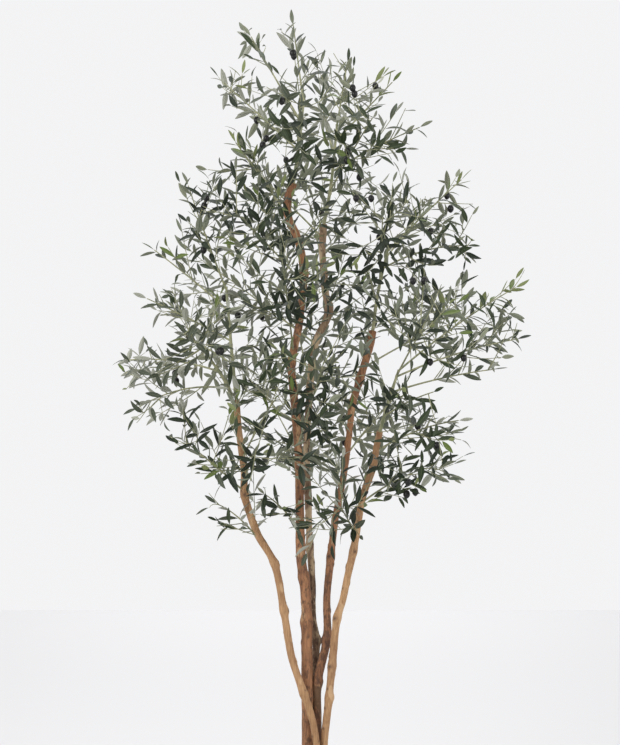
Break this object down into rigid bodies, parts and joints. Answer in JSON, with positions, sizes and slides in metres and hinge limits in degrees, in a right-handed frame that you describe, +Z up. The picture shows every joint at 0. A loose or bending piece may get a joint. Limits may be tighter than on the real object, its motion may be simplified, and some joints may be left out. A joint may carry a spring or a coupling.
{
  "type": "artificial olive tree",
  "caption": "Artificial olive tree: bent wooden stems in a plain round pot carry an airy head of plugged-in sprays with narrow leaves and dark olives.",
  "frame": {"origin": "middle of the pot's flat underside", "axes": "+Z up along the stems, +X to the right of the front view and -Y towards its viewer"},
  "size_m": [1.2198, 0.9544, 2.3933],
  "materials": {
    "tan_wood": "bare pale pole, dry and rough",
    "russet_wood": "bark on, red-brown and rough",
    "grey_wood": "bark on, grey-brown and flaking",
    "spray_stem": "grey-green moulded stem",
    "foliage": "dark green on top, silvery grey-green underneath",
    "pot": "smooth black",
    "fill": "coarse and dry"
  },
  "bodies": {
    "root": {"pot": "pot", "pot_fill": "fill", "stem_left": "tan_wood", "stem_main": "russet_wood", "stem_back": "grey_wood", "stem_middle": "russet_wood", "stem_right": "tan_wood", "bough_left_low": "spray_stem", "bough_left_high": "spray_stem", "bough_main": "spray_stem", "bough_back": "spray_stem", "bough_middle": "spray_stem", "bough_right": "spray_stem", "foliage_low_left": "foliage", "foliage_low_left_outer": "foliage", "foliage_low_centre": "foliage", "foliage_low_left_front": "foliage", "foliage_low_left_inner": "foliage", "foliage_low_right": "foliage", "foliage_low_front": "foliage", "foliage_low_right_outer": "foliage", "foliage_low_right_inner": "foliage", "foliage_low_back": "foliage", "foliage_low_back_right": "foliage", "foliage_left_low": "foliage", "foliage_left_mid": "foliage", "foliage_left_front": "foliage", "foliage_left_back": "foliage", "foliage_left_high": "foliage", "foliage_front_low": "foliage", "foliage_front_mid": "foliage", "foliage_right_front": "foliage", "foliage_right_low": "foliage", "foliage_right_mid": "foliage", "foliage_right_high": "foliage", "foliage_right_back": "foliage", "foliage_back_mid": "foliage", "foliage_back_left": "foliage", "foliage_left_upper": "foliage", "foliage_left_top": "foliage", "foliage_front_upper_left": "foliage", "foliage_front_upper_right": "foliage", "foliage_right_upper_low": "foliage", "foliage_right_upper": "foliage", "foliage_right_upper_back": "foliage", "foliage_back_upper": "foliage", "foliage_back_upper_left": "foliage", "foliage_top_left_low": "foliage", "foliage_top_left": "foliage", "foliage_peak_left": "foliage", "foliage_peak": "foliage", "foliage_top_front": "foliage", "foliage_top_front_right": "foliage", "foliage_peak_right": "foliage", "foliage_top_right": "foliage", "foliage_top_right_low": "foliage", "foliage_top_back": "foliage"}
  },
  "joints": []
}
